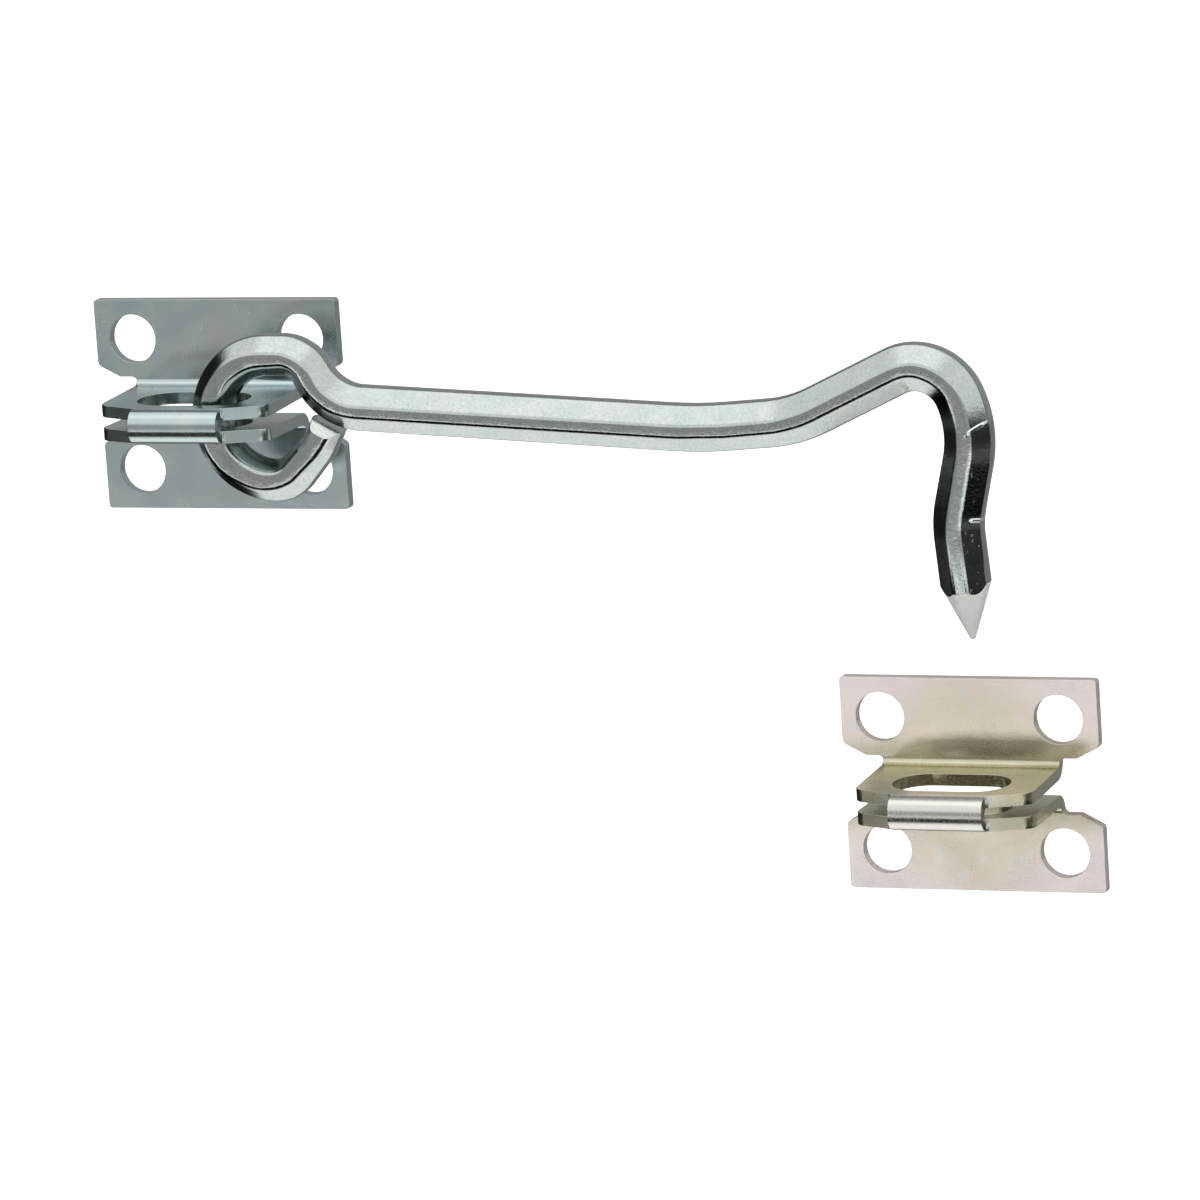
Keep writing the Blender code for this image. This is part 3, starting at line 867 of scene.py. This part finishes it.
def card_finish(colour):
    """Cards on the floor that the metal mirrors: white below, dim behind, greys further out."""
    material, graph = material_graph("floor_cards")
    hook_middle = 0.05
    x, y, z = graph.axes()
    across = x - hook_middle
    out = (across * across + y * y) ** 0.5
    rim = 0.28 - graph.smooth(abs(y) / out, 0.55, 0.75) * 0.08
    behind = graph.smooth(y, 0.1, 0.22)
    white = (1.0 - graph.smooth(out - rim, -0.05, 0.05)) * (1.0 - behind)
    horizon = by_angle(graph, around(graph, across, y), HORIZON)
    stops = [(reach / RINGS_END, value) for reach, value in RINGS]
    ring = graph.node("ValToRGB", {"stops": stops}, {0: out / RINGS_END})
    tone = graph.mix(behind, graph.dimmed(horizon, ring * 0.9), graph.dimmed(horizon, 0.6))
    tone = graph.mix(white, tone, colour)
    graph.surface({
        "Base Color": tone,
        "Roughness": 0.9,
        "Specular IOR Level": 0.0,
        "Emission Color": graph.dimmed(tone, 1.0 + white * 0.8),
        "Emission Strength": 0.32,
    })
    return material


def studio_world():
    """Soft light from a bright ceiling, cards and cloths round the horizon, a plain backdrop."""
    world = bpy.data.worlds.new("studio_world")
    world.use_nodes = True
    bpy.context.scene.world = world
    graph = Graph(world.node_tree)
    x, y, z = graph.axes(graph.node("TexCoord", output="Generated"))
    angle = around(graph, x, y)
    edge = z - by_angle(graph, angle, CEILING)
    light = graph.mix(graph.smooth(edge, -0.07, 0.07), by_angle(graph, angle, HORIZON), BRIGHT)
    light = graph.mix(graph.node("LightPath", output="Is Camera Ray"), light, BRIGHT)
    backdrop = graph.node("Background", {}, {"Color": light, "Strength": 1.0})
    graph.node("OutputWorld", {}, {"Surface": backdrop})


def soft_box(name, place, target, size, power):
    light = bpy.data.lights.new(name, "AREA")
    light.shape = "RECTANGLE"
    light.size, light.size_y = size
    light.energy = power
    item = bpy.data.objects.new(name, light)
    item.location = place
    item.rotation_euler = (Vector(target) - Vector(place)).to_track_quat("-Z", "Y").to_euler()
    bpy.context.scene.collection.objects.link(item)


def camera(view):
    """A camera that sees the front middle of the hook plate's flanges at the view's place."""
    back = Vector((
        math.sin(view.azimuth) * math.cos(view.elevation),
        -math.cos(view.azimuth) * math.cos(view.elevation),
        math.sin(view.elevation),
    ))
    level = Vector((math.cos(view.azimuth), math.sin(view.azimuth), 0.0))
    upright = back.cross(level)
    right = math.cos(view.roll) * level + math.sin(view.roll) * upright
    up = -math.sin(view.roll) * level + math.cos(view.roll) * upright
    lens = bpy.data.cameras.new("camera")
    lens.sensor_fit = "HORIZONTAL"
    lens.angle = view.field
    lens.clip_start = 0.05
    item = bpy.data.objects.new("camera", lens)
    turn = Matrix((right, up, back)).transposed().to_4x4()
    subject = (PLATE_LOW + PLATE_HIGH) / 2
    subject.y = view.front
    place = subject - view.aside * right - view.above * up + view.distance * back
    item.matrix_world = Matrix.Translation(place) @ turn
    bpy.context.scene.collection.objects.link(item)
    bpy.context.scene.camera = item


class StageSizes(bpy.types.PropertyGroup):
    """The photograph's view."""

    azimuth: degrees("Azimuth", "Camera's angle to the right of straight on", 20.5)
    elevation: degrees("Elevation", "Camera's angle above the horizon", 12.0)
    roll: degrees("Roll", "Camera's turn about its own axis", -3.8)
    distance: length("Distance", "Camera to the hook plate", 994.0)
    aside: length("Aside", "Hook plate's place to the right of the camera's axis", -52.3, low=-1.0)
    above: length("Above", "Hook plate's place above the camera's axis", 27.0, low=-1.0)
    front: length("Front", "Depth of the hook plate's flange fronts", -1.7, low=-1.0)
    field: degrees("Field of View", "Width of the camera's view", 9.52)


class HOOK_OT_plates(bpy.types.Operator):
    """Model the hook plate and the catch plate from one blank, and finish them"""

    bl_idname = "gate_hook.plates"
    bl_label = "Folded Plates"

    def execute(self, context):
        sizes = context.scene.gate_hook_plate
        colours = context.scene.gate_hook_colours
        zinc = zinc_plate("blue_zinc_sheet", colours)
        centre, half = (CATCH_LOW + CATCH_HIGH) / 2, (CATCH_HIGH - CATCH_LOW) / 2
        warm = passivated_plate("passivated_zinc_sheet", colours, centre, half)
        rows = (
            ("hook_plate", PLATE_LOW, PLATE_HIGH, zinc, "plate_zinc"),
            ("catch_plate", CATCH_LOW, CATCH_HIGH, warm, "passivated_zinc"),
        )
        for node, low, high, material, slot in rows:
            plate = folded_plate(node + "_pressing", sizes, low, high, material)
            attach(plate, "plates")
            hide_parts(node)
        return {"FINISHED"}


class HOOK_OT_hook(bpy.types.Operator):
    """Model the hook's bent bar with its turned point, and finish it"""

    bl_idname = "gate_hook.hook"
    bl_label = "Hook"

    def execute(self, context):
        sizes = context.scene.gate_hook_bar
        plate = context.scene.gate_hook_plate
        colours = context.scene.gate_hook_colours
        half_slot, half_ears = plate.slot_length / 2, plate.ear_gap_back / 2 + plate.sheet
        web_corner = math.hypot(EYE.x - half_slot, half_ears)
        # Raised nicks on the bar; each also gets a painted highlight along its crest.
        nicks_and_highlights = (
            (EYE + Vector((100.6, 0.0, -0.9)) * MM, math.radians(30), 1.8 * MM),
            (EYE + Vector((99.8, 0.0, -13.4)) * MM, math.radians(-8), 0.9 * MM),
        )
        materials = [
            zinc_bar("bright_zinc_bar", colours, nicks_and_highlights),
            turned_point("turned_point", colours),
        ]
        hook = hook_bar("hook_bar", sizes, web_corner, materials)
        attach(hook, "hook")
        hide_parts("hook")
        return {"FINISHED"}


class HOOK_OT_stage(bpy.types.Operator):
    """Set up the pale floor, the soft light and the camera"""

    bl_idname = "gate_hook.stage"
    bl_label = "Stage"

    def execute(self, context):
        colours = context.scene.gate_hook_colours
        view = context.scene.gate_hook_stage
        wide_disc("studio_floor", FLOOR_DROP, floor_finish(colours.floor))
        cards = wide_disc("floor_cards", CARDS_DROP, card_finish(colours.floor))
        cards.visible_camera = False
        studio_world()
        soft_box(
            "top_box", place=(0.0, -0.35, 0.9), target=(0.06, 0.0, 0.0), size=(0.9, 0.5), power=0.6
        )
        context.scene.view_settings.view_transform = "Standard"
        camera(view)
        return {"FINISHED"}


class HOOK_PT_panel(bpy.types.Panel):
    """Lists the gate hook's pieces and sizes in the sidebar"""

    bl_idname = "HOOK_PT_panel"
    bl_label = "Gate Hook"
    bl_space_type = "VIEW_3D"
    bl_region_type = "UI"
    bl_category = "Gate Hook"

    def draw(self, context):
        for operator in (HOOK_OT_plates, HOOK_OT_hook, HOOK_OT_stage):
            self.layout.operator(operator.bl_idname)
        for name in GROUPS:
            box = self.layout.box()
            group = getattr(context.scene, name)
            for size in group.bl_rna.properties:
                if not size.is_readonly and size.identifier != "name":
                    box.prop(group, size.identifier)


GROUPS = {
    "gate_hook_plate": PlateSizes,
    "gate_hook_bar": HookSizes,
    "gate_hook_colours": FinishColours,
    "gate_hook_stage": StageSizes,
}
CLASSES = (*GROUPS.values(), HOOK_OT_plates, HOOK_OT_hook, HOOK_OT_stage, HOOK_PT_panel)


def register():
    for item in CLASSES:
        bpy.utils.register_class(item)
    for name, group in GROUPS.items():
        setattr(bpy.types.Scene, name, bpy.props.PointerProperty(type=group))


def unregister():
    for name in GROUPS:
        delattr(bpy.types.Scene, name)
    for item in reversed(CLASSES):
        bpy.utils.unregister_class(item)


def main():
    register()
    bpy.ops.gate_hook.plates()
    bpy.ops.gate_hook.hook()
    bpy.ops.gate_hook.stage()
    bpy.context.view_layer.update()


if __name__ == "__main__":
    main()
